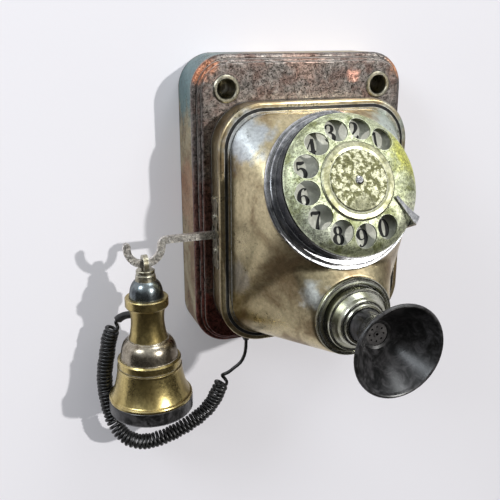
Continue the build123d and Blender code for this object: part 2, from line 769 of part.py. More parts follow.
with BuildPart() as hook_lever:
    with BuildSketch(front(LEVER_BACK)):
        with BuildLine():
            side_x = FORK_X + FORK_R
            Line((TAIL_X, HOOK_Z), (side_x + CORNER_R, HOOK_Z))
            RadiusArc((side_x + CORNER_R, HOOK_Z), (side_x, HOOK_Z - CORNER_R), -CORNER_R)
            Line((side_x, HOOK_Z - CORNER_R), (side_x, FORK_Z))
            CenterArc((FORK_X, FORK_Z), FORK_R, 0, -FORK_END)
        trace(line_width=BAR_HIGH)
        end = radians(-FORK_END)
        with Locations((FORK_X + FORK_R * cos(end), FORK_Z + FORK_R * sin(end)), (TAIL_X, HOOK_Z)):
            Circle(BAR_HIGH / 2)
        with Locations((PIVOT_X, HOOK_Z)):
            Circle(HUB_R)
            Circle(PIN_R + RUNNING, mode=Mode.SUBTRACT)
    extrude(amount=BAR_THICK)
keep(hook_lever, "hook_lever")

BRACKET_BACK, BRACKET_FRONT, BRACKET_SHEET = FACE_DEPTH, 52.0, 1.5

with BuildPart() as lever_bracket:
    for start in (BRACKET_BACK, BRACKET_FRONT - BRACKET_SHEET):
        block(18.0, 20.0, start, start + BRACKET_SHEET, PIVOT_X, -15.0)
    block(18.0, BRACKET_SHEET, BRACKET_BACK, BRACKET_FRONT, PIVOT_X, -5.0 - BRACKET_SHEET / 2)
    peg(PIN_R, BRACKET_BACK, BRACKET_FRONT, PIVOT_X, HOOK_Z, Mode.SUBTRACT)
keep(lever_bracket, "lever_bracket")

with BuildPart() as lever_pin:
    peg(PIN_R, BRACKET_BACK, BRACKET_FRONT, PIVOT_X, HOOK_Z)
    peg(3.6, BRACKET_BACK + BRACKET_SHEET, LEVER_BACK - 0.3, PIVOT_X, HOOK_Z)
    peg(3.2, BRACKET_FRONT, BRACKET_FRONT + 1.0, PIVOT_X, HOOK_Z)
keep(lever_pin, "lever_pin")

SPRING_WIRE, SPRING_R, SPRING_PITCH, SPRING_TURNS = 0.7, 3.2, 0.85, 3.25

with BuildPart() as lever_spring:
    with BuildLine() as coil:
        Helix(
            SPRING_PITCH,
            SPRING_PITCH * SPRING_TURNS,
            SPRING_R,
            center=(PIVOT_X, -(LEVER_FRONT + 0.7), HOOK_Z),
            direction=(0, -1, 0),
        )
    with BuildSketch(Plane(origin=coil.line @ 0, z_dir=coil.line % 0)):
        Circle(SPRING_WIRE / 2)
    sweep(path=coil.line, is_frenet=True)
keep(lever_spring, "lever_spring")

PUSHER_X, PUSHER_SIDE, PUSHER_TOP, PUSHER_LOW, LEAF = -28.5, 3.0, -18.0, -32.0, 0.6
BLOCK_X, BLOCK_W = -16.75, 4.5

with BuildPart() as switch_pusher:
    with BuildSketch(Plane.XY.offset(PUSHER_LOW)):
        with Locations((PUSHER_X, -HOOK_DEPTH)):
            Rectangle(PUSHER_SIDE, PUSHER_SIDE)
    extrude(amount=PUSHER_TOP - PUSHER_LOW)
    with BuildSketch(Plane.XY.offset(PUSHER_LOW - LEAF)):
        with Locations((-25.0, -HOOK_DEPTH)):
            Rectangle(10.0, PUSHER_SIDE)
    extrude(amount=LEAF)
keep(switch_pusher, "switch_pusher")

with BuildPart() as switch_contacts:
    block(BLOCK_W, 15.0, FACE_DEPTH, 49.0, BLOCK_X, -32.5)
    block(12.0, 1.5, HOOK_DEPTH - 3.0, HOOK_DEPTH + 3.0, -25.0, -26.3)
    block(12.0, 0.5, HOOK_DEPTH - 1.5, HOOK_DEPTH + 1.5, -25.0, -35.2)
    with BuildSketch(Plane.XY.offset(-28.0)):
        with Locations((PUSHER_X, -HOOK_DEPTH)):
            Rectangle(PUSHER_SIDE + 2 * GAP, PUSHER_SIDE + 2 * GAP)
    extrude(amount=4.0, mode=Mode.SUBTRACT)
keep(switch_contacts, "switch_contacts")

# ---------------------------------------------------------------- circuit and ringer

COIL_X, COIL_Z, COIL_LENGTH, COIL_DEPTH = -23.0, -62.0, 40.0, 13.0

with BuildPart() as induction_coil:
    with BuildSketch(Plane.YZ.offset(COIL_X - COIL_LENGTH / 2)):
        with Locations((-COIL_DEPTH, COIL_Z)):
            Circle(9.0)
    extrude(amount=COIL_LENGTH)
    for end in (-1, 1):
        block(2.0, 22.0, PLATE, PLATE + 22.0, COIL_X + end * (COIL_LENGTH / 2 + 1), COIL_Z)
keep(induction_coil, "induction_coil")

with BuildPart() as capacitor:
    block(40.0, 26.0, PLATE, PLATE + 18.0, 30.0, COIL_Z)
    fillet(capacitor.edges().filter_by(Axis.Y), radius=2.0)
keep(capacitor, "capacitor")

TERMINALS_Z, TERMINALS, TERMINAL_STEP = -84.0, 6, 11.5
terminal_x = [(i - (TERMINALS - 1) / 2) * TERMINAL_STEP for i in range(TERMINALS)]

with BuildPart() as terminal_block:
    block(70.0, 10.0, PLATE, 12.0, 0, TERMINALS_Z)
    for x in terminal_x:
        peg(1.5, 6.0, 12.0, x, TERMINALS_Z, Mode.SUBTRACT)
keep(terminal_block, "terminal_block")

with BuildPart() as terminal_screws:
    for x in terminal_x:
        peg(1.5, 6.0, 12.0, x, TERMINALS_Z)
        peg(3.0, 12.0, 13.8, x, TERMINALS_Z)
        block(6.4, 0.8, 13.0, 13.8, x, TERMINALS_Z, Mode.SUBTRACT)
keep(terminal_screws, "terminal_screws")

GONG_X, GONG_Z, GONG_R, CROWN = 28.0, 52.0, 22.0, 26.0
ARMATURE_Z, CLAPPER_DEPTH = 18.0, 15.0
RINGER_PIN_R, GONG_SCREW_R = 1.5, 1.5
BOBBIN_X, BOBBIN_R, BOBBIN_LOW, BOBBIN_HIGH = 12.0, 8.0, -14.0, 12.0

with BuildPart() as ringer_frame:
    block(66.0, 84.0, PLATE, PLATE + SHEET, 0, 18.0)
    block(44.0, 4.0, PLATE, 20.0, 0, BOBBIN_LOW - 2)
    peg(RINGER_PIN_R, PLATE, 20.0, 0, ARMATURE_Z)
    for side in (-1, 1):
        peg(2.6, PLATE, CROWN - 1.2, side * GONG_X, GONG_Z)
        peg(GONG_SCREW_R, 18.0, CROWN, side * GONG_X, GONG_Z, Mode.SUBTRACT)
        with BuildSketch(Plane.XY.offset(BOBBIN_LOW)):
            with Locations((side * BOBBIN_X, -CLAPPER_DEPTH)):
                Circle(3.0)
        extrude(amount=BOBBIN_HIGH - BOBBIN_LOW + 1.5)
keep(ringer_frame, "ringer_frame")

with BuildPart() as ringer_coils:
    for side in (-1, 1):
        with BuildSketch(Plane.XY.offset(BOBBIN_LOW)):
            with Locations((side * BOBBIN_X, -CLAPPER_DEPTH)):
                Circle(BOBBIN_R)
                Circle(3.0, mode=Mode.SUBTRACT)
        extrude(amount=BOBBIN_HIGH - BOBBIN_LOW)
keep(ringer_coils, "ringer_coils")

GONG_FACE = [(GONG_SCREW_R, CROWN), (10.0, CROWN), (17.5, 24.0), (21.2, 19.0), (GONG_R, 12.0)]
GONG_BACK = [
    (GONG_R - 1.2, 12.0),
    (20.0, 18.6),
    (16.8, 22.9),
    (9.8, CROWN - 1.2),
    (GONG_SCREW_R, CROWN - 1.2),
]

with BuildPart() as gong_left:
    turn(GONG_FACE + GONG_BACK, Station((-GONG_X, 0, GONG_Z), (0, -1, 0)))
keep(gong_left, "gong_left")

with BuildPart() as gong_right:
    turn(GONG_FACE + GONG_BACK, Station((GONG_X, 0, GONG_Z), (0, -1, 0)))
keep(gong_right, "gong_right")

with BuildPart() as gong_screws:
    for side in (-1, 1):
        peg(GONG_SCREW_R, 18.0, CROWN, side * GONG_X, GONG_Z)
        peg(3.2, CROWN, CROWN + 1.8, side * GONG_X, GONG_Z)
        block(0.8, 6.8, CROWN + 1.0, CROWN + 1.8, side * GONG_X, GONG_Z, Mode.SUBTRACT)
keep(gong_screws, "gong_screws")

with BuildPart() as clapper:
    block(40.0, 5.0, CLAPPER_DEPTH - 3.0, CLAPPER_DEPTH + 3.0, 0, ARMATURE_Z)
    with BuildSketch(Plane.XY.offset(ARMATURE_Z + 2.0)):
        with Locations((0, -CLAPPER_DEPTH)):
            Circle(1.0)
    extrude(amount=GONG_Z - ARMATURE_Z - 2.0)
    with Locations((0, -CLAPPER_DEPTH, GONG_Z)):
        Sphere(3.2)
    peg(RINGER_PIN_R + RUNNING, 0, 30.0, 0, ARMATURE_Z, Mode.SUBTRACT)
keep(clapper, "clapper")

# ---------------------------------------------------------------- receiver

LOOP_WIDE, LOOP_INNER, LOOP_THICK, LOOP_Z, LOOP_TOP = 5.75, 2.6, 3.4, -29.9, -27.3
NUT_TOP, NUT_LOW, DOME_LOW, GRIP_LOW = -34.0, -41.2, -52.8, -82.4
SHOULDER_LOW, BELL_LOW, CAP_LOW = -95.6, -124.9, -135.0

with BuildPart() as receiver_loop:
    with BuildSketch(Plane.YZ.offset(FORK_X - LOOP_THICK / 2)):
        with Locations((-HOOK_DEPTH, LOOP_Z)):
            Circle(LOOP_WIDE)
        with Locations((-HOOK_DEPTH, NUT_TOP)):
            Rectangle(2 * LOOP_WIDE, LOOP_Z - NUT_TOP, align=(Align.CENTER, Align.MIN))
            Rectangle(4 * LOOP_WIDE, LOOP_WIDE, align=(Align.CENTER, Align.MAX), mode=Mode.SUBTRACT)
            RectangleRounded(2 * LOOP_INNER, 2 * (LOOP_TOP - NUT_TOP), 1.2, mode=Mode.SUBTRACT)
    extrude(amount=LOOP_THICK)
keep(receiver_loop, "receiver_loop")

with BuildPart() as receiver_nut:
    turn(
        [
            (0, NUT_TOP),
            (5.8, NUT_TOP),
            (6.2, NUT_TOP - 0.5),
            (6.2, NUT_TOP - 2.2),
            (5.6, NUT_TOP - 2.8),
            (6.5, NUT_TOP - 3.6),
            (7.0, NUT_LOW),
            (0, NUT_LOW),
        ],
        hang,
    )
keep(receiver_nut, "receiver_nut")

DOME_CURVE = [(7.2, NUT_LOW), (9.4, -43.8), (10.8, -48.0), (11.4, DOME_LOW)]

with BuildPart() as receiver_dome:
    turn_curved(DOME_CURVE, [(0, DOME_LOW), (0, NUT_LOW)], hang)
keep(receiver_dome, "receiver_dome")

GRIP_CURVE = [(12.5, -59.4), (11.3, -65.0), (11.1, -70.0), (11.8, -76.5), (13.0, GRIP_LOW)]
GRIP_BORE = 8.0
GRIP_REST = [
    (GRIP_BORE, GRIP_LOW),
    (GRIP_BORE, -56.0),
    (0, -56.0),
    (0, DOME_LOW),
    (13.9, DOME_LOW),
    (14.4, -53.4),
    (14.4, -58.6),
    (13.9, -59.4),
]

with BuildPart() as receiver_handle:
    turn_curved(GRIP_CURVE, GRIP_REST, hang)
keep(receiver_handle, "receiver_handle")

SHOULDER_CURVE = [(14.2, -82.8), (16.6, -84.9), (18.5, -89.6), (19.5, SHOULDER_LOW)]
SHOULDER_REST = [
    (17.2, SHOULDER_LOW),
    (13.0, -89.6),
    (GRIP_BORE, -87.0),
    (GRIP_BORE, GRIP_LOW),
    (13.8, GRIP_LOW),
]

with BuildPart() as receiver_shoulder:
    turn_curved(SHOULDER_CURVE, SHOULDER_REST, hang)
keep(receiver_shoulder, "receiver_shoulder")

BELL_CURVE = [(21.8, -103.9), (22.5, -108.5), (24.2, -115.8), (26.6, -122.0)]
BELL_REST = [
    (27.0, -122.5),
    (28.0, -122.9),
    (28.4, -123.6),
    (28.4, BELL_LOW),
    (24.0, BELL_LOW),
    (21.0, -116.0),
    (19.2, -104.0),
    (17.2, SHOULDER_LOW),
    (20.6, SHOULDER_LOW),
    (21.4, -96.6),
    (21.4, -100.6),
    (20.8, -101.1),
    (20.8, -101.7),
    (21.9, -102.2),
    (21.9, -103.4),
]

with BuildPart() as receiver_bell:
    turn_curved(BELL_CURVE, BELL_REST, hang)
keep(receiver_bell, "receiver_bell")

CAP_R, CAP_BORE, EAR_HOLE = 28.6, 26.0, 5.0

with BuildPart() as ear_cap:
    turn(
        [
            (CAP_BORE, BELL_LOW),
            (28.2, BELL_LOW),
            (CAP_R, -125.4),
            (CAP_R, -133.4),
            (27.8, -134.6),
            (26.4, CAP_LOW),
            (20.0, -133.8),
            (EAR_HOLE, -132.6),
            (EAR_HOLE, -130.6),
            (24.0, -131.6),
            (CAP_BORE, -130.0),
        ],
        hang,
    )
keep(ear_cap, "ear_cap")

with BuildPart() as receiver_diaphragm:
    ring(hang, 0, CAP_BORE - GAP, BELL_LOW - 0.3, BELL_LOW)
keep(receiver_diaphragm, "receiver_diaphragm")

POLE_IN, POLE_OUT, POLE_TOP, POLE_LOW, BRIDGE = 3.0, 6.0, -58.0, -123.6, 4.0
POLE_TALL, POLE_MIDDLE = POLE_TOP - POLE_LOW, (POLE_TOP + POLE_LOW) / 2
POLE_BACK, POLE_FRONT = HOOK_DEPTH - 2.5, HOOK_DEPTH + 2.5
COIL_Z, COIL_WIDE, COIL_TALL, COIL_DEEP = -117.0, 7.8, 10.0, 10.0

with BuildPart() as receiver_magnet:
    block(2 * POLE_OUT, POLE_TALL, POLE_BACK, POLE_FRONT, FORK_X, POLE_MIDDLE)
    middle = POLE_MIDDLE - BRIDGE
    block(2 * POLE_IN, POLE_TALL, POLE_BACK - 1, POLE_FRONT + 1, FORK_X, middle, Mode.SUBTRACT)
keep(receiver_magnet, "receiver_magnet")

with BuildPart() as receiver_coils:
    for side in (-1, 1):
        x = FORK_X + side * (POLE_IN + POLE_OUT) / 2
        block(COIL_WIDE, COIL_TALL, HOOK_DEPTH - COIL_DEEP / 2, HOOK_DEPTH + COIL_DEEP / 2, x, COIL_Z)
        hole = POLE_OUT - POLE_IN
        block(hole, COIL_TALL + 1, POLE_BACK, POLE_FRONT, x, COIL_Z, Mode.SUBTRACT)
keep(receiver_coils, "receiver_coils")

# ---------------------------------------------------------------- cord

gland = Station((GLAND_X, -GLAND_DEPTH, 0), (0, 0, 1))

with BuildPart() as cord_gland:
    turn(
        [
            (0, -80.0),
            (GLAND_R, -80.0),
            (GLAND_R, -89.2),
            (4.3, -89.2),
            (4.3, -90.2),
            (1.9, WIRE_ROUTE[0][2]),
            (0, WIRE_ROUTE[0][2]),
        ],
        gland,
    )
keep(cord_gland, "cord_gland")

with BuildPart() as cord_straight:
    tube(WIRE_ROUTE, CORD_WIRE)
keep(cord_straight, "cord_straight")

with BuildPart() as cord_curly:
    tube(COIL_ROUTE, CORD_COIL)
keep(cord_curly, "cord_curly")

# The sleeve bends from the end of the coil into the back of the grip
SLEEVE = [
    (COIL_ROUTE[-1], Vector(*COIL_ROUTE[-1]) - Vector(*COIL_ROUTE[-2]), 3.0),
    ((-127.6, -32.0, -70.0), (0.56, -0.56, 0.61), 2.7),
    ((-121.4, -38.0, -68.0), (0.68, -0.68, 0.27), 2.5),
]

with BuildPart() as receiver_relief:
    for place, heading, radius in SLEEVE:
        with BuildSketch(Plane(origin=place, z_dir=heading)):
            Circle(radius)
    loft()
    add(receiver_handle.part, mode=Mode.SUBTRACT)
keep(receiver_relief, "receiver_relief")

for name, route, diameter in (("wire", WIRE_ROUTE, CORD_WIRE), ("coil", COIL_ROUTE, CORD_COIL)):
    print(name, "bend radii", [round(radius, 1) for radius in arc_radii(route)])
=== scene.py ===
"""Looks for the wall telephone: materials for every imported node, the curly cord's wire, the
dial's digits, the wall it hangs on, the lights and the camera. Metres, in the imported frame:
+X to the right seen from the room, -Y out of the wall, +Z up."""

import math

import bmesh
import bpy
import numpy as np
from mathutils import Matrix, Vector


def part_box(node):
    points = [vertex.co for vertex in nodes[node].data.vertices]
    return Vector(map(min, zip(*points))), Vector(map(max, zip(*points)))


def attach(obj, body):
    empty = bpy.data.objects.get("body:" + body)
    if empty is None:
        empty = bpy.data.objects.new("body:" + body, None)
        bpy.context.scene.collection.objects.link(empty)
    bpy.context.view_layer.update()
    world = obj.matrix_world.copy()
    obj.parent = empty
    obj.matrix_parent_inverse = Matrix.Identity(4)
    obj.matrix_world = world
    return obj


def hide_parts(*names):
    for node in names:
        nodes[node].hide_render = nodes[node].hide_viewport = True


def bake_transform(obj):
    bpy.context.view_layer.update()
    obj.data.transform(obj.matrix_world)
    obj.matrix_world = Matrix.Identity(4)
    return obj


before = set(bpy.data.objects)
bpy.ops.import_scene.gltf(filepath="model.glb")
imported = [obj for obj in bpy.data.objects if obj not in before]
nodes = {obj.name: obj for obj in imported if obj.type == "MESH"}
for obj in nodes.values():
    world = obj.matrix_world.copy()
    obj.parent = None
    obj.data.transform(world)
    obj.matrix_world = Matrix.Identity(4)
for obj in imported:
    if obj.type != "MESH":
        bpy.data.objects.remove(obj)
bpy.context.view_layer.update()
scene = bpy.context.scene
MM = 0.001

# ------------------------------------------------------------------ camera

CAMERA_AT = Vector((-198.9, -469.1, 116.3)) * MM
YAW, PITCH = math.radians(20.36), math.radians(17.8)

camera = bpy.data.objects.new("camera", bpy.data.cameras.new("camera"))
camera.data.lens = 50
camera.data.sensor_width = 36
camera.location = CAMERA_AT
camera.rotation_euler = (math.radians(90) - PITCH, 0, -YAW)
scene.collection.objects.link(camera)
scene.camera = camera

# ------------------------------------------------------------------ wall and light


def flat_mesh(name, corners):
    """A one-face mesh."""
    mesh = bpy.data.meshes.new(name)
    mesh.from_pydata(corners, [], [tuple(range(len(corners)))])
    made = bpy.data.objects.new(name, mesh)
    scene.collection.objects.link(made)
    return made


WALL_REACH = 4.0
wall = flat_mesh(
    "wall",
    [
        (-WALL_REACH, 0.0004, -WALL_REACH),
        (WALL_REACH, 0.0004, -WALL_REACH),
        (WALL_REACH, 0.0004, WALL_REACH),
        (-WALL_REACH, 0.0004, WALL_REACH),
    ],
)


def lamp(name, kind, energy, toward, at=(0, 0, 0), color=(1, 1, 1), **settings):
    """A light at a place, shining along a direction."""
    data = bpy.data.lights.new(name, kind)
    data.energy = energy
    data.color = color
    for key, value in settings.items():
        setattr(data, key, value)
    made = bpy.data.objects.new(name, data)
    made.location = at
    made.rotation_euler = Vector(toward).to_track_quat("-Z", "Y").to_euler()
    scene.collection.objects.link(made)
    return made


def aim(name, at, size, energy, color=(1, 1, 1), at_point=(0, -0.07, 0)):
    """A square soft light that faces a point on the telephone."""
    toward = Vector(at_point) - Vector(at)
    return lamp(name, "AREA", energy, toward, at, color, size=size)


lamp("key", "SUN", 2.3, (-0.46, 0.84, -0.30), color=(1, 0.985, 0.96), angle=math.radians(1.6))
aim("window_left", (-1.0, -0.55, 0.75), 0.45, 7.0, (0.88, 0.94, 1.0))
aim("window_top", (0.35, -0.40, 1.1), 0.5, 5.0, (0.95, 0.98, 1.0))

scene.view_settings.view_transform = "Standard"

# ------------------------------------------------------------------ node material helpers


class Surface:
    """A node material around one Principled shader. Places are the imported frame's, in metres."""

    def __init__(self, name):
        self.material = bpy.data.materials.new(name)
        self.material.use_nodes = True
        self.tree = self.material.node_tree
        self.tree.nodes.clear()
        output = self.add("ShaderNodeOutputMaterial")
        self.shader = self.add("ShaderNodeBsdfPrincipled")
        self.link(self.shader.outputs[0], output.inputs[0])
        self.place = self.add("ShaderNodeTexCoord").outputs["Object"]

    def add(self, kind, **settings):
        node = self.tree.nodes.new(kind)
        for key, value in settings.items():
            setattr(node, key, value)
        return node

    def link(self, source, target):
        self.tree.links.new(source, target)

    def put(self, target, value):
        """Set an input to a number or colour, or link it."""
        if isinstance(value, bpy.types.NodeSocket):
            self.link(value, target)
        elif hasattr(target.default_value, "__len__") and len(value) == 3:
            target.default_value = (*value, 1)[: len(target.default_value)]
        else:
            target.default_value = value

    def set(self, **inputs):
        """Set Principled inputs by name, with _ for a space."""
        for name, value in inputs.items():
            self.put(self.shader.inputs[name.replace("_", " ")], value)

    def math(self, operation, first, second=0.0, clamp=False):
        node = self.add("ShaderNodeMath", operation=operation, use_clamp=clamp)
        self.put(node.inputs[0], first)
        self.put(node.inputs[1], second)
        return node.outputs[0]

    def noise(self, size_mm, detail=5, rough=0.55, warp=0.0, at=None):
        """Noise whose features are about size_mm across."""
        node = self.add("ShaderNodeTexNoise")
        self.link(at or self.place, node.inputs["Vector"])
        self.put(node.inputs["Scale"], 1000 / size_mm)
        self.put(node.inputs["Detail"], detail)
        self.put(node.inputs["Roughness"], rough)
        self.put(node.inputs["Distortion"], warp)
        return node.outputs[0]

    def stretched(self, scale):
        """The place, squeezed along each axis by a factor, for streaks."""
        node = self.add("ShaderNodeMapping")
        self.link(self.place, node.inputs["Vector"])
        node.inputs["Scale"].default_value = scale
        return node.outputs[0]

    def step(self, value, low, high):
        """0 below low and 1 above high, smooth between. low may be the greater."""
        node = self.add("ShaderNodeMapRange", interpolation_type="SMOOTHSTEP")
        self.put(node.inputs["Value"], value)
        self.put(node.inputs["From Min"], min(low, high))
        self.put(node.inputs["From Max"], max(low, high))
        self.put(node.inputs["To Min"], 0.0 if low < high else 1.0)
        self.put(node.inputs["To Max"], 1.0 if low < high else 0.0)
        return node.outputs[0]

    def mix(self, amount, first, second, blend="MIX"):
        node = self.add("ShaderNodeMix", data_type="RGBA", blend_type=blend)
        self.put(node.inputs[0], amount)
        self.put(node.inputs[6], first)
        self.put(node.inputs[7], second)
        return node.outputs[2]

    def scaled(self, color, amount):
        """A colour made lighter or darker by a factor."""
        node = self.add("ShaderNodeVectorMath", operation="SCALE")
        self.link(color, node.inputs[0])
        self.put(node.inputs["Scale"], amount)
        return node.outputs[0]

    def axis(self, name):
        node = self.add("ShaderNodeSeparateXYZ")
        self.link(self.place, node.inputs[0])
        return node.outputs[name]

    def near(self, centre_mm, reach_mm, rag=0.35, rag_size=9.0):
        """1 at a place and 0 beyond reach_mm of it, with a ragged edge."""
        node = self.add("ShaderNodeVectorMath", operation="DISTANCE")
        self.link(self.place, node.inputs[0])
        node.inputs[1].default_value = Vector(centre_mm) * MM
        distance = self.math("DIVIDE", node.outputs["Value"], reach_mm * MM)
        wander = self.math("MULTIPLY", self.math("SUBTRACT", self.noise(rag_size), 0.5), 4 * rag)
        ragged = self.math("ADD", distance, wander)
        return self.step(ragged, 1.0, 0.45)

    def corner_shade(self, reach_mm):
        """Painted shade in corners: 1 deep in a corner and 0 in the open, found by ambient occlusion."""
        node = self.add("ShaderNodeAmbientOcclusion", samples=6)
        node.inputs["Distance"].default_value = reach_mm * MM
        return self.step(node.outputs["AO"], 0.9, 0.45)

    def edge(self, radius_mm):
        """1 on an outside edge and 0 on a flat."""
        bevel = self.add("ShaderNodeBevel", samples=6)
        bevel.inputs["Radius"].default_value = radius_mm * MM
        normal = self.add("ShaderNodeNewGeometry").outputs["Normal"]
        dot = self.add("ShaderNodeVectorMath", operation="DOT_PRODUCT")
        self.link(bevel.outputs[0], dot.inputs[0])
        self.link(normal, dot.inputs[1])
        return self.step(dot.outputs["Value"], 0.985, 0.90)

    def bump(self, height, depth_mm, strength=1.0):
        node = self.add("ShaderNodeBump")
        node.inputs["Strength"].default_value = strength
        node.inputs["Distance"].default_value = depth_mm * MM
        self.put(node.inputs["Height"], height)
        self.link(node.outputs[0], self.shader.inputs["Normal"])


def antique(
    name,
    metal,
    tarnish,
    blotch=22.0,
    balance=(0.40, 0.62),
    roughness=(0.24, 0.46),
    speck=1.1,
    speck_share=0.40,
    speck_color=(0.03, 0.025, 0.02),
    dark=(0.012, 0.009, 0.007),
    corner_shade=3.0,
    bright=None,
    edge=0.5,
    spots=(),
    pit=0.05,
    streak=None,
    grit=0.35,
):
    """Aged metal: two metals in blotches, fine light and dark grit, specks that are pits, painted
    shade and dirt in its corners, pale edges that are wear and painted highlight, and coloured
    spots of (centre in mm, reach in mm, colour, strength)."""
    s = Surface(name)
    field = s.noise(blotch, 7, 0.62, 0.6, s.stretched(streak) if streak else None)
    color = s.mix(s.step(field, *balance), metal, tarnish)
    for centre, reach, tint, strength in spots:
        amount = s.math("MULTIPLY", s.near(centre, reach), strength)
        color = s.mix(amount, color, tint)
    small = s.noise(2.2, 6, 0.75, 0.4)
    shade = s.math("ADD", 1 - grit, s.math("MULTIPLY", s.step(small, 0.3, 0.7), 2 * grit))
    color = s.scaled(color, shade)
    grain = s.noise(speck, 3, 0.7)
    cluster = s.noise(blotch * 0.6, 4, 0.6)
    clustered = s.step(cluster, 1 - speck_share, 1.08 - speck_share)
    specks = s.math("MULTIPLY", s.step(grain, 0.55, 0.63), clustered)
    color = s.mix(specks, color, speck_color)
    # Painted shade and grime: corners and crevices found by ambient occlusion are darkened.
    corner = s.corner_shade(corner_shade)
    color = s.mix(corner, color, dark)
    # Painted highlight with wear: outside edges are lightened towards a pale colour.
    worn_and_lit_edges = s.math("MULTIPLY", s.edge(edge), s.step(s.noise(6.0), 0.34, 0.5))
    if bright:
        color = s.mix(s.math("MULTIPLY", worn_and_lit_edges, 0.9), color, bright)
    smooth, coarse = roughness
    rough = s.math("ADD", smooth, s.math("MULTIPLY", s.step(field, 0.3, 0.7), coarse - smooth))
    rough = s.math("ADD", rough, s.math("MULTIPLY", s.math("SUBTRACT", small, 0.5), 0.25))
    rough = s.math("ADD", rough, s.math("MULTIPLY", s.math("MAXIMUM", specks, corner), 0.3), True)
    metallic = s.math("SUBTRACT", 1.0, s.math("MULTIPLY", corner, 0.8))
    s.set(Base_Color=color, Metallic=metallic, Roughness=rough)
    waves = s.math("ADD", s.math("MULTIPLY", s.noise(blotch * 0.5, 3), 0.6), s.math("MULTIPLY", small, 0.25))
    s.bump(s.math("SUBTRACT", waves, specks), pit)
    return s.material


def plain_metal(name, color, roughness=0.3, size=1.5):
    """Clean metal with fine brushing and a little unevenness."""
    s = Surface(name)
    grain = s.noise(size, 4, 0.6, at=s.stretched((0.15, 1, 1)))
    tone = s.mix(s.step(grain, 0.35, 0.65), color, tuple(c * 0.82 for c in color))
    # Painted shade: corners found by ambient occlusion are darkened to a fifth of the colour.
    s.set(Base_Color=s.mix(s.corner_shade(2.0), tone, tuple(c * 0.2 for c in color)), Metallic=1.0)
    s.set(Roughness=s.math("ADD", roughness, s.math("MULTIPLY", grain, 0.15)))
    s.bump(grain, 0.01)
    return s.material


def moulded(name, color, roughness=0.3, dust=None, scuff=3.0):
    """Plastic, rubber or enamel with faint scuffs and, if given, dust in its open parts."""
    s = Surface(name)
    field = s.noise(scuff, 6, 0.65, 0.8)
    tone = s.mix(s.step(field, 0.45, 0.7), color, tuple(min(1, c * 1.6 + 0.012) for c in color))
    if dust:
        dusty = s.math("MULTIPLY", s.step(s.noise(9.0, 6, 0.7, 1.2), 0.42, 0.66), dust[1])
        tone = s.mix(dusty, tone, dust[0])
    # Painted shade: corners found by ambient occlusion are darkened to three tenths of the colour.
    s.set(Base_Color=s.mix(s.corner_shade(1.5), tone, tuple(c * 0.3 for c in color)))
    s.set(Roughness=s.math("ADD", roughness, s.math("MULTIPLY", field, 0.22)))
    s.bump(s.noise(scuff * 0.4, 4), 0.015)
    return s.material


def dress(material, *names):
    """Give CAD nodes a material."""
    for name in names:
        mesh = nodes[name].data
        mesh.materials.clear()
        mesh.materials.append(material)


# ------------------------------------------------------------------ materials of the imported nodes

side_brass = antique(
    "side_brass",
    (0.44, 0.38, 0.23),
    (0.26, 0.18, 0.11),
    blotch=26,
    roughness=(0.34, 0.55),
    speck_share=0.50,
    spots=[
        ((-76, -15, 84), 34, (0.12, 0.25, 0.27), 0.85),
        ((-76, -15, 8), 30, (0.44, 0.24, 0.14), 0.6),
        ((-60, -15, 99), 40, (0.15, 0.22, 0.23), 0.7),
    ],
    grit=0.30,
    pit=0.10,
)
face_bronze = antique(
    "face_bronze",
    (0.205, 0.185, 0.17),
    (0.15, 0.105, 0.09),
    blotch=13,
    balance=(0.40, 0.66),
    roughness=(0.34, 0.55),
    speck=0.9,
    speck_share=0.76,
    speck_color=(0.020, 0.014, 0.012),
    bright=(0.90, 0.84, 0.76),
    edge=0.7,
    corner_shade=2.2,
    spots=[
        ((37, -38, 85), 6.5, (0.85, 0.45, 0.34), 0.8),
        # Painted highlights: the orange spots at the top left and top right corners of the beads.
        ((-70, -33, 92), 13, (0.60, 0.25, 0.13), 0.7),
        ((74, -33, 92), 12, (0.66, 0.32, 0.17), 0.8),
        ((0, -33, 99), 20, (0.36, 0.20, 0.14), 0.3),
        ((-74, -34, -20), 56, (0.13, 0.060, 0.048), 0.9),
        ((-74, -34, -90), 50, (0.16, 0.050, 0.040), 0.9),
        ((0, -38, -100), 90, (0.14, 0.050, 0.045), 0.7),
    ],
    grit=0.75,
    pit=0.16,
)
housing_brass = antique(
    "housing_brass",
    (0.55, 0.47, 0.29),
    (0.26, 0.19, 0.105),
    blotch=30,
    balance=(0.42, 0.66),
    roughness=(0.26, 0.42),
    speck=1.3,
    speck_share=0.40,
    speck_color=(0.11, 0.085, 0.045),
    bright=(0.95, 0.95, 0.90),
    edge=0.8,
    corner_shade=1.6,
    spots=[
        ((-24, -98, -28), 16, (0.20, 0.155, 0.08), 0.45),
        # Painted reflections and highlights: the bluish spot at the top left, the pale teal one at the top
        # right and the near-white one on the boss's upper left.
        ((-50, -66, 50), 20, (0.50, 0.56, 0.62), 0.75),
        ((52, -70, 52), 24, (0.58, 0.68, 0.64), 0.75),
        ((-24, -110, -40), 11, (0.88, 0.92, 0.88), 0.85),
        ((-55, -66, -40), 14, (0.50, 0.50, 0.50), 0.45),
    ],
    grit=0.22,
    pit=0.10,
)
worn_brass = antique(
    "worn_brass",
    (0.44, 0.42, 0.33),
    (0.24, 0.21, 0.14),
    blotch=7,
    bright=(0.80, 0.79, 0.70),
    corner_shade=1.4,
    speck_share=0.35,
)
plate_steel = plain_metal("plate_steel", (0.42, 0.42, 0.40), 0.38)
nickel = antique(
    "nickel",
    (0.60, 0.60, 0.61),
    (0.16, 0.165, 0.18),
    blotch=12,
    roughness=(0.12, 0.26),
    bright=(0.86, 0.86, 0.84),
    speck_share=0.2,
    corner_shade=1.3,
    grit=0.35,
    pit=0.02,
)
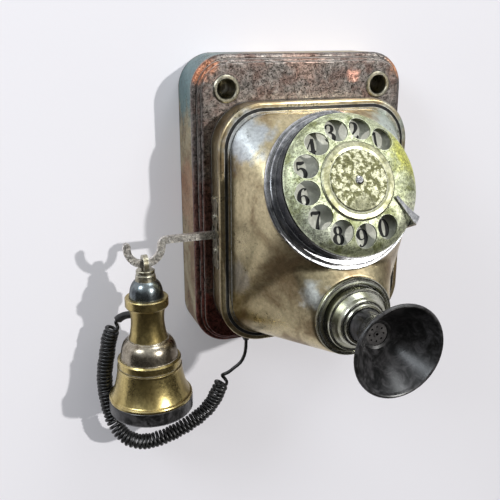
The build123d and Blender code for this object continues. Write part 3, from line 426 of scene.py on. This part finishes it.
wheel_brass = antique(
    "wheel_brass",
    (0.50, 0.53, 0.36),
    (0.25, 0.27, 0.13),
    blotch=9,
    balance=(0.46, 0.64),
    roughness=(0.50, 0.62),
    speck=0.8,
    speck_share=0.64,
    speck_color=(0.11, 0.12, 0.06),
    bright=(0.93, 0.96, 0.84),
    edge=0.45,
    corner_shade=1.0,
    spots=[
        ((40, -104, 42), 19, (0.62, 0.62, 0.16), 0.9),
        ((36, -116, 6), 17, (0.74, 0.76, 0.60), 0.7),
        ((-30, -128, 4), 17, (0.72, 0.76, 0.62), 0.8),
    ],
    grit=0.55,
)
label_brass = antique(
    "label_brass",
    (0.46, 0.46, 0.33),
    (0.15, 0.15, 0.075),
    blotch=3.2,
    balance=(0.43, 0.53),
    roughness=(0.5, 0.65),
    speck=0.7,
    speck_share=0.62,
    speck_color=(0.09, 0.09, 0.04),
    corner_shade=1.2,
    spots=[((0, -123, 14), 13, (0.20, 0.20, 0.13), 0.9)],
    grit=0.45,
)
ring_brass = antique(
    "ring_brass",
    (0.36, 0.36, 0.25),
    (0.22, 0.22, 0.12),
    blotch=8,
    bright=(0.93, 0.94, 0.84),
    roughness=(0.36, 0.5),
    corner_shade=1.2,
    edge=0.35,
)
collar_brass = antique(
    "collar_brass",
    (0.47, 0.47, 0.39),
    (0.26, 0.26, 0.17),
    blotch=14,
    bright=(0.95, 0.95, 0.90),
    roughness=(0.20, 0.36),
    corner_shade=1.4,
    speck_share=0.25,
    edge=0.35,
    grit=0.2,
)
receiver_brass = antique(
    "receiver_brass",
    (0.56, 0.45, 0.19),
    (0.30, 0.23, 0.09),
    blotch=22,
    roughness=(0.24, 0.38),
    bright=(0.80, 0.75, 0.62),
    corner_shade=1.6,
    speck_share=0.22,
    streak=(1, 1, 0.35),
    pit=0.03,
    grit=0.2,
)
shoulder_brass = antique(
    "shoulder_brass",
    (0.38, 0.34, 0.27),
    (0.20, 0.165, 0.12),
    blotch=12,
    roughness=(0.22, 0.34),
    bright=(0.88, 0.85, 0.78),
    corner_shade=1.4,
    speck_share=0.2,
    pit=0.03,
    grit=0.2,
)
gunmetal = antique(
    "gunmetal",
    (0.20, 0.23, 0.24),
    (0.07, 0.08, 0.09),
    blotch=12,
    roughness=(0.22, 0.34),
    speck_share=0.2,
    corner_shade=1.2,
    pit=0.02,
    grit=0.2,
)
hook_steel = antique(
    "hook_steel",
    (0.86, 0.83, 0.78),
    (0.56, 0.53, 0.48),
    blotch=5,
    balance=(0.36, 0.60),
    roughness=(0.34, 0.5),
    bright=(0.92, 0.91, 0.88),
    corner_shade=1.0,
    speck=0.6,
    speck_share=0.60,
    edge=0.4,
    grit=0.6,
)
# Black for the bezel's neck, partly painted shade: it also stands in for the shade under the wheel's lip.
black_enamel = moulded("black_enamel", (0.010, 0.010, 0.013), 0.14)
cream_enamel = moulded("cream_enamel", (0.40, 0.40, 0.35), 0.5, ((0.26, 0.265, 0.18), 0.35), 5.0)
black_bakelite = moulded("black_bakelite", (0.005, 0.005, 0.005), 0.20, ((0.12, 0.115, 0.12), 0.42), 2.5)
throat_grey = moulded("throat_grey", (0.035, 0.032, 0.032), 0.4, ((0.13, 0.125, 0.12), 0.6), 1.2)
black_rubber = moulded("black_rubber", (0.010, 0.010, 0.010), 0.24)

dress(side_brass, "back_box")
dress(face_bronze, "face_cover")
dress(housing_brass, "front_housing")
dress(worn_brass, "wall_eyelets", "escutcheon", "escutcheon_screws", "receiver_nut", "receiver_loop")
dress(worn_brass, "terminal_screws")
dress(plate_steel, "wall_plate", "ringer_frame", "dial_frame", "lever_bracket", "case_screws", "gong_screws")
dress(nickel, "dial_bezel", "finger_stop", "hub_screw")
dress(black_enamel, "bezel_neck")
dress(cream_enamel, "number_plate")
dress(wheel_brass, "finger_wheel")
dress(label_brass, "label_disc")
dress(ring_brass, "hub_ring")
dress(collar_brass, "transmitter_collar")
dress(receiver_brass, "receiver_handle", "receiver_bell")
dress(shoulder_brass, "receiver_shoulder")
dress(gunmetal, "receiver_dome")
dress(hook_steel, "hook_lever", "lever_pin")
dress(black_bakelite, "mouthpiece_horn", "ear_cap")
dress(throat_grey, "throat_disc")
dress(black_rubber, "flange_gasket", "cord_gland", "cord_straight", "cord_curly", "receiver_relief")
dress(
    plain_metal("spring_steel", (0.25, 0.27, 0.33), 0.25),
    "dial_spring",
    "lever_spring",
    "receiver_magnet",
    "receiver_diaphragm",
    "clapper",
)
dress(
    moulded("phenolic", (0.09, 0.04, 0.018), 0.4),
    "switch_contacts",
    "switch_pusher",
    "pulse_contacts",
    "terminal_block",
    "carbon_chamber",
)
dress(
    plain_metal("gear_brass", (0.72, 0.55, 0.24), 0.22),
    "drive_gear",
    "pulse_cam",
    "governor_rotor",
    "governor_cup",
    "gong_left",
    "gong_right",
)
dress(
    plain_metal("capsule_aluminium", (0.75, 0.75, 0.75), 0.3),
    "transmitter_capsule",
    "transmitter_diaphragm",
    "capacitor",
)


def wound(name, along):
    """Enamelled copper wire wound round an axis, its turns 0.6 mm apart."""
    s = Surface(name)
    turns = s.math("SINE", s.math("MULTIPLY", s.axis(along), 2 * math.pi / (0.6 * MM)))
    shade = s.step(turns, -1.0, 1.0)
    s.set(Base_Color=s.mix(shade, (0.16, 0.035, 0.012), (0.52, 0.17, 0.06)), Metallic=0.6, Roughness=0.3)
    s.bump(shade, 0.15)
    return s.material


dress(wound("winding_across", "X"), "induction_coil")
dress(wound("winding_upright", "Z"), "ringer_coils", "receiver_coils")

wall_paint = Surface("wall_paint")
mottle = wall_paint.noise(260, 3, 0.5)
paint = wall_paint.mix(mottle, (0.60, 0.59, 0.62), (0.63, 0.62, 0.65))
wall_paint.set(Base_Color=paint, Roughness=0.9, Emission_Color=(0.97, 0.96, 1.0), Emission_Strength=0.17)
wall_paint.bump(wall_paint.noise(2.5, 4), 0.03)
wall.data.materials.append(wall_paint.material)

# ------------------------------------------------------------------ world: a dim room, bright above

SKY = [
    (0.00, (0.07, 0.062, 0.055)),
    (0.47, (0.045, 0.04, 0.035)),
    (0.54, (0.13, 0.12, 0.11)),
    (0.64, (0.55, 0.57, 0.60)),
    (1.00, (0.95, 0.98, 1.0)),
]
world = bpy.data.worlds.new("room")
scene.world = world
world.use_nodes = True
tree = world.node_tree
height = tree.nodes.new("ShaderNodeSeparateXYZ")
tree.links.new(tree.nodes.new("ShaderNodeTexCoord").outputs["Generated"], height.inputs[0])
span = tree.nodes.new("ShaderNodeMapRange")
span.inputs["From Min"].default_value = -1
tree.links.new(height.outputs["Z"], span.inputs["Value"])
ramp = tree.nodes.new("ShaderNodeValToRGB")
tree.links.new(span.outputs[0], ramp.inputs[0])
while len(ramp.color_ramp.elements) < len(SKY):
    ramp.color_ramp.elements.new(0.5)
for element, (position, tint) in zip(ramp.color_ramp.elements, SKY):
    element.position = position
    element.color = (*tint, 1)
tree.links.new(ramp.outputs[0], tree.nodes["Background"].inputs[0])
tree.nodes["Background"].inputs[1].default_value = 0.8

# ------------------------------------------------------------------ the pressed housing

# The sheet is drawn from the flange in two lobes that run into each other, one to the dial's
# seat and one to the boss, so its front is the hull of each, joined, relaxed, and opened under
# the dial and behind the mouthpiece. Its flange, skirt and slot stay as packed, behind the cut.
CUT, BODY_INSET, BODY_CORNER, SHEET = 60.6, 6.8, 22.7, 1.6
TILT = math.radians(24.4)
DIAL_AT = Vector((0, -114.4, 29.8))
DIAL_OUT = Vector((0, -math.cos(TILT), math.sin(TILT)))
DIAL_UP = Vector((0, math.sin(TILT), math.cos(TILT)))
ACROSS = Vector((1, 0, 0))
DIAL_SEAT, SEAT_R, SEAT_BORE = -23.0, 49.6, 43.9
BOSS_AT, BOSS_R, BOSS_BORE = Vector((0, -117.0, -54.8)), 26.9, 22.4
RELAX_ROUNDS = 110


def circle(centre, up, radius, count=96):
    """Points of a circle in mm, in the plane of X and up."""
    turns = [2 * math.pi * i / count for i in range(count)]
    return [centre + ACROSS * (radius * math.cos(a)) + up * (radius * math.sin(a)) for a in turns]


def body_outline(depth):
    """The rounded rectangle where the body leaves the flange, in mm."""
    low, high = (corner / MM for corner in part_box("front_housing"))
    made = []
    for right, top in ((1, 1), (0, 1), (0, 0), (1, 0)):
        x = high.x - BODY_INSET - BODY_CORNER if right else low.x + BODY_INSET + BODY_CORNER
        z = high.z - BODY_INSET - BODY_CORNER if top else low.z + BODY_INSET + BODY_CORNER
        start = math.atan2(2 * top - 1, 2 * right - 1) - math.pi / 4
        for i in range(17):
            angle = start + math.pi / 2 * i / 16
            out_x, out_z = BODY_CORNER * math.cos(angle), BODY_CORNER * math.sin(angle)
            made.append(Vector((x + out_x, -depth, z + out_z)))
    return made


def half(mesh, depth, keep_front):
    """A mesh cut at a depth from the wall, with only one side kept."""
    cut = bmesh.new()
    cut.from_mesh(mesh)
    bmesh.ops.bisect_plane(
        cut,
        geom=cut.verts[:] + cut.edges[:] + cut.faces[:],
        plane_co=(0, -depth * MM, 0),
        plane_no=(0, 1, 0),
        clear_outer=keep_front,
        clear_inner=not keep_front,
    )
    return cut


def modified(mesh, kind, **settings):
    """A copy of a mesh with one modifier applied."""
    holder = bpy.data.objects.new("modified", mesh)
    scene.collection.objects.link(holder)
    change = holder.modifiers.new("change", kind)
    for key, value in settings.items():
        setattr(change, key, value)
    made = bpy.data.meshes.new_from_object(holder.evaluated_get(bpy.context.evaluated_depsgraph_get()))
    bpy.data.objects.remove(holder)
    return made


def relax(mesh, weight, rounds):
    """Smooth a mesh without shrinking it, where each vertex's weight lets it move."""
    count = len(mesh.vertices)
    place = np.empty(count * 3)
    mesh.vertices.foreach_get("co", place)
    place = place.reshape(-1, 3)
    ends = np.empty(len(mesh.edges) * 2, int)
    mesh.edges.foreach_get("vertices", ends)
    first, second = ends.reshape(-1, 2).T
    links = np.bincount(first, minlength=count) + np.bincount(second, minlength=count)
    free = np.array([weight(Vector(point) / MM) for point in place])[:, None]
    for factor in (0.5, -0.47) * rounds:
        total = np.empty_like(place)
        for k in range(3):
            total[:, k] = np.bincount(first, place[second, k], count)
            total[:, k] += np.bincount(second, place[first, k], count)
        place += factor * free * (total / links[:, None] - place)
    mesh.vertices.foreach_set("co", place.ravel())
    mesh.update()


def ramped(value, low, high):
    """0 at low, 1 at high and between them in proportion."""
    return min(1.0, max(0.0, (value - low) / (high - low)))


def body_freedom(point):
    """How far the relaxing may move a point: not at all at the flange and the dial's seat."""
    from_flange = ramped(-point.y, CUT + 0.4, CUT + 6)
    behind_dial = ramped(DIAL_SEAT - (point - DIAL_AT).dot(DIAL_OUT), 0.3, 5)
    return min(from_flange, behind_dial)


def opened(body):
    """Cut away the parts of the body under the dial and behind the mouthpiece."""
    gone = []
    for face in body.faces:
        middle = face.calc_center_median() / MM
        from_dial = middle - DIAL_AT
        height = from_dial.dot(DIAL_OUT)
        in_seat = height > DIAL_SEAT - 1.2 and (from_dial - DIAL_OUT * height).length < SEAT_BORE
        from_boss = middle - BOSS_AT
        in_boss = from_boss.y < 1.2 and Vector((from_boss.x, from_boss.z)).length < BOSS_BORE
        if in_seat or in_boss:
            gone.append(face)
    bmesh.ops.delete(body, geom=gone, context="FACES")


def hull_of(solid, points):
    """Add the hull of some points in mm to a mesh being built."""
    corners = [solid.verts.new(point * MM) for point in points]
    made = bmesh.ops.convex_hull(solid, input=corners)
    inside = [part for part in made["geom_interior"] if isinstance(part, bmesh.types.BMVert)]
    bmesh.ops.delete(solid, geom=inside, context="VERTS")


def housing_body():
    """The drawn sheet in front of the flange: a lobe to the dial's seat and one to the boss."""
    root = body_outline(CUT - 1.1)
    seat = circle(DIAL_AT + DIAL_OUT * DIAL_SEAT, DIAL_UP, SEAT_R)
    boss = circle(BOSS_AT + Vector((0, 1.6, 0)), Vector((0, 0, 1)), BOSS_R)
    boss += circle(BOSS_AT, Vector((0, 0, 1)), BOSS_R - 1.1)
    lobes = bmesh.new()
    hull_of(lobes, root + seat)
    hull_of(lobes, root + boss)
    solid = bpy.data.meshes.new("housing_lobes")
    lobes.to_mesh(solid)
    lobes.free()
    skin = modified(solid, "REMESH", mode="VOXEL", voxel_size=1.1 * MM)
    relax(skin, body_freedom, RELAX_ROUNDS)
    body = half(skin, CUT, True)
    opened(body)
    body.to_mesh(skin)
    body.free()
    return modified(skin, "SOLIDIFY", thickness=SHEET * MM, offset=-1)


body_mesh = housing_body()
body_mesh.shade_smooth()
rim = half(nodes["front_housing"].data, CUT, False)
rim.from_mesh(body_mesh)
housing_mesh = bpy.data.meshes.new("housing_skin")
rim.to_mesh(housing_mesh)
rim.free()
housing = bpy.data.objects.new("housing_skin", housing_mesh)
scene.collection.objects.link(housing)
housing.data.materials.append(housing_brass)
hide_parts("front_housing")
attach(housing, "case")

# ------------------------------------------------------------------ cord

WIRE, COIL = 2.4, 11.4
WIRE_ROUTE = [
    (-45.2, -47.0, -94.5),
    (-45.2, -47.0, -100.6),
    (-46.4, -47.0, -106.8),
    (-49.2, -46.9, -112.1),
]
COIL_ROUTE = [
    (-54.2, -46.5, -115.4),
    (-60.0, -46.04, -119.23),
    (-64.2, -45.0, -128.0),
    (-68.4, -44.0, -139.2),
    (-75.6, -43.3, -148.0),
    (-84.6, -42.6, -154.4),
    (-96.0, -42.0, -160.0),
    (-109.2, -41.0, -164.6),
    (-121.0, -38.0, -166.8),
    (-130.4, -33.0, -164.8),
    (-136.6, -28.0, -158.0),
    (-139.8, -24.0, -148.4),
    (-141.6, -22.0, -137.0),
    (-142.6, -21.6, -124.8),
    (-142.0, -22.0, -112.6),
    (-139.6, -23.4, -100.6),
    (-138.0, -23.7, -89.6),
    (-134.8, -25.3, -80.4),
    (-131.2, -28.3, -73.6),
]


def spline_object(name, points, resolution=12):
    """A curve object with one smooth open spline with these control points, in metres."""
    curve = bpy.data.curves.new(name, "CURVE")
    curve.dimensions = "3D"
    curve.resolution_u = resolution
    spline = curve.splines.new("NURBS")
    spline.points.add(len(points) - 1)
    for point, place in zip(spline.points, points):
        point.co = (*place, 1)
    spline.order_u = 3
    spline.use_endpoint_u = True
    made = bpy.data.objects.new(name, curve)
    scene.collection.objects.link(made)
    return made


def points_along(route):
    """Points read from the route's own smooth spline."""
    guide = spline_object("cord_guide", [Vector(p) * MM for p in route])
    mesh = bpy.data.meshes.new_from_object(guide)
    line = [vertex.co.copy() for vertex in mesh.vertices]
    bpy.data.meshes.remove(mesh)
    bpy.data.objects.remove(guide)
    return line


def even(line, gap):
    """The same line with points a constant distance apart."""
    placed, left = [line[0]], gap
    for a, b in zip(line, line[1:]):
        run = (b - a).length
        while run >= left > 0:
            a = a + (b - a) * (left / run)
            placed.append(a)
            run = (b - a).length
            left = gap
        left -= run
    return placed


LEAD_IN, LEAD_OUT, LEAD_OPEN = 16 * MM, 12 * MM, 6


def eased(value):
    """0 to 1 with a soft start and a soft end."""
    value = min(1.0, max(0.0, value))
    return value * value * (3 - 2 * value)


def helix(line, radius, pitch, per_turn=14):
    """Points of a coil that grows out of a line and shrinks back into it, so that the wire never
    kinks. Its first turns stand open and its sizes vary a little."""
    fine = 0.1 * MM
    spine = even(line, fine)
    heading = (spine[1] - spine[0]).normalized()
    side = heading.orthogonal().normalized()
    made, along, angle = [], 0.0, 0.0
    while int(along / fine) < len(spine) - 1:
        i = int(along / fine)
        following = (spine[i + 1] - spine[i]).normalized()
        side.rotate(heading.rotation_difference(following))
        heading = following
        turn = angle / (2 * math.pi)
        grown = min(eased(along / LEAD_IN), eased((len(spine) * fine - along) / LEAD_OUT))
        size = grown * min(1.0, 0.72 + 0.14 * turn)
        size *= 1 + 0.035 * math.sin(1.7 * turn) + 0.02 * math.sin(4.3 * turn + 1)
        out = side * math.cos(angle) + heading.cross(side) * math.sin(angle)
        made.append(spine[i] + out * radius * size)
        angle += 2 * math.pi / per_turn
        open_turn = 1 + 1.1 * math.exp(-turn * 0.9) + LEAD_OPEN * (1 - grown)
        along += pitch * open_turn * (1 + 0.06 * math.sin(0.9 * turn)) / per_turn
    return made


def tube(name, points, radius, sides=3):
    """A mesh tube round a smooth spline through these points, and the line that it follows."""
    guide = spline_object(name + "_guide", points, resolution=2)
    line = bpy.data.meshes.new_from_object(guide)
    path = [vertex.co.copy() for vertex in line.vertices]
    guide.data.bevel_depth = radius
    guide.data.bevel_resolution = sides
    guide.data.use_fill_caps = True
    mesh = bpy.data.meshes.new_from_object(guide)
    bpy.data.meshes.remove(line)
    bpy.data.objects.remove(guide)
    for face in mesh.polygons:
        face.use_smooth = True
    made = bpy.data.objects.new(name, mesh)
    scene.collection.objects.link(made)
    return made, path


full = points_along(WIRE_ROUTE + COIL_ROUTE)
start = min(range(len(full)), key=lambda i: (full[i] - Vector(COIL_ROUTE[0]) * MM).length)
coil = helix(full[start:], (COIL - WIRE) / 2 * MM, 2.8 * MM)
wire_points = [Vector(p) * MM for p in WIRE_ROUTE] + coil + [full[-1]]
cord, cord_path = tube("curly_cord", wire_points, WIRE / 2 * MM)
cord.data.materials.clear()
cord.data.materials.append(black_rubber)
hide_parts("cord_straight", "cord_curly")
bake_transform(cord)

# ------------------------------------------------------------------ digits

DIGIT_CIRCLE, DIGIT_FIRST, DIGIT_STEP, DIGIT_TALL, INK = 33.0, 50.8, 27.74, 10.8, 1.4

SIX = [
    [(0.52, 0.88, 0.13), (0.38, 0.98, 0.05), (0.17, 0.80, 0.12), (0.07, 0.48, 0.18), (0.11, 0.17, 0.15)]
    + [
        (0.30, 0.01, 0.05),
        (0.49, 0.14, 0.12),
        (0.54, 0.33, 0.17),
        (0.45, 0.54, 0.09),
        (0.28, 0.58, 0.04),
        (0.12, 0.45, 0.05),
    ]
]
# Strokes of each digit in a box one high and 0.6 wide: x, y and the stroke's width there
DIGITS = {
    1: [
        [(0.32, 0.01, 0.11), (0.32, 0.50, 0.11), (0.32, 0.99, 0.11)],
        [(0.08, 0.80, 0.04), (0.20, 0.87, 0.07), (0.34, 0.97, 0.10)],
        [(0.08, 0.02, 0.05), (0.32, 0.03, 0.06), (0.56, 0.02, 0.05)],
    ],
    2: [
        [(0.08, 0.72, 0.16), (0.13, 0.91, 0.08), (0.31, 0.99, 0.05), (0.50, 0.89, 0.13), (0.53, 0.70, 0.17)]
        + [(0.42, 0.48, 0.10), (0.20, 0.26, 0.06), (0.05, 0.08, 0.05)],
        [(0.05, 0.08, 0.07), (0.28, 0.10, 0.16), (0.48, 0.06, 0.15), (0.60, 0.24, 0.04)],
    ],
    3: [
        [(0.08, 0.78, 0.15), (0.16, 0.93, 0.07), (0.32, 0.99, 0.05), (0.48, 0.90, 0.12), (0.50, 0.75, 0.16)]
        + [(0.42, 0.60, 0.09), (0.24, 0.54, 0.04)],
        [(0.24, 0.54, 0.04), (0.46, 0.48, 0.08), (0.55, 0.29, 0.18), (0.47, 0.09, 0.12), (0.30, 0.01, 0.05)]
        + [(0.12, 0.07, 0.08), (0.07, 0.21, 0.15)],
    ],
    4: [
        [(0.42, 0.99, 0.05), (0.22, 0.64, 0.05), (0.02, 0.29, 0.05)],
        [(0.02, 0.28, 0.06), (0.32, 0.28, 0.06), (0.62, 0.28, 0.06)],
        [(0.43, 0.99, 0.14), (0.43, 0.50, 0.17), (0.43, 0.02, 0.17)],
        [(0.25, 0.02, 0.05), (0.43, 0.02, 0.05), (0.60, 0.02, 0.05)],
    ],
    5: [
        [(0.13, 0.97, 0.05), (0.11, 0.75, 0.05), (0.10, 0.53, 0.05)],
        [(0.12, 0.93, 0.12), (0.34, 0.91, 0.15), (0.55, 0.96, 0.08)],
        [(0.10, 0.53, 0.05), (0.32, 0.62, 0.08), (0.51, 0.48, 0.16), (0.54, 0.26, 0.18), (0.41, 0.06, 0.10)]
        + [(0.22, 0.01, 0.05), (0.09, 0.09, 0.10), (0.07, 0.21, 0.14)],
    ],
    6: SIX,
    7: [
        [(0.05, 0.76, 0.05), (0.09, 0.93, 0.12), (0.34, 0.92, 0.15), (0.59, 0.95, 0.09)],
        [(0.58, 0.95, 0.05), (0.38, 0.52, 0.10), (0.28, 0.02, 0.18)],
    ],
    8: [
        [
            (0.30 + 0.17 * math.sin(a) + 0.02, 0.76 + 0.21 * math.cos(a), 0.05 + 0.09 * abs(math.sin(a)))
            for a in (2 * math.pi * i / 12 for i in range(13))
        ],
        [
            (0.30 + 0.22 * math.sin(a), 0.28 + 0.27 * math.cos(a), 0.05 + 0.12 * abs(math.sin(a)))
            for a in (2 * math.pi * i / 12 for i in range(13))
        ],
    ],
    9: [[(0.60 - x, 1 - y, w) for x, y, w in stroke] for stroke in SIX],
    0: [
        [
            (0.30 + 0.23 * math.sin(a), 0.5 + 0.48 * math.cos(a), 0.05 + 0.13 * abs(math.sin(a)))
            for a in (2 * math.pi * i / 16 for i in range(17))
        ]
    ],
}


def smooth_stroke(stroke, steps=6):
    """A stroke's points with a smooth curve between them."""
    padded = [stroke[0]] + list(stroke) + [stroke[-1]]
    if stroke[0][:2] == stroke[-1][:2] or (Vector(stroke[0][:2]) - Vector(stroke[-1][:2])).length < 1e-6:
        padded = [stroke[-2]] + list(stroke) + [stroke[1]]
    fine = []
    for before, a, b, after in zip(padded, padded[1:], padded[2:], padded[3:]):
        for i in range(steps):
            t = i / steps
            fine.append(
                tuple(
                    0.5
                    * (
                        2 * q
                        + (r - p) * t
                        + (2 * p - 5 * q + 4 * r - s) * t * t
                        + (3 * q - p - 3 * r + s) * t**3
                    )
                    for p, q, r, s in zip(before, a, b, after)
                )
            )
    return fine + [stroke[-1]]


def digit_mesh(mesh, digit, centre):
    """Add a digit's strokes to a mesh, upright on the number plate round a centre in mm."""
    for layer, stroke in enumerate(DIGITS[digit]):
        fine = smooth_stroke(stroke)
        rows = []
        for i, (x, y, width) in enumerate(fine):
            ahead, behind = fine[min(i + 1, len(fine) - 1)], fine[max(i - 1, 0)]
            along = Vector((ahead[0] - behind[0], ahead[1] - behind[1])).normalized()
            across = Vector((-along.y, along.x)) * width * INK / 2
            row = []
            for side in (1, -1):
                px = (x + side * across.x - 0.31) * DIGIT_TALL
                py = (y + side * across.y - 0.5) * DIGIT_TALL
                lift = -7.4 + 0.05 + 0.01 * layer
                point = centre + Vector((px, 0, 0)) + DIAL_UP * py + DIAL_OUT * lift
                row.append(mesh.verts.new(point * MM))
            rows.append(row)
        for (a, b), (c, d) in zip(rows, rows[1:]):
            mesh.faces.new((a, b, d, c))


digits = bmesh.new()
for i in range(10):
    angle = math.radians(DIGIT_FIRST + i * DIGIT_STEP)
    spot = Vector((DIGIT_CIRCLE * math.cos(angle), 0, 0)) + DIAL_UP * (DIGIT_CIRCLE * math.sin(angle))
    digit_mesh(digits, (i + 1) % 10, DIAL_AT + spot)
digits_mesh = bpy.data.meshes.new("dial_digits")
digits.to_mesh(digits_mesh)
digits.free()
dial_digits = bpy.data.objects.new("dial_digits", digits_mesh)
scene.collection.objects.link(dial_digits)
dial_digits.data.materials.append(moulded("digit_ink", (0.004, 0.004, 0.004), 0.7))
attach(dial_digits, "case")
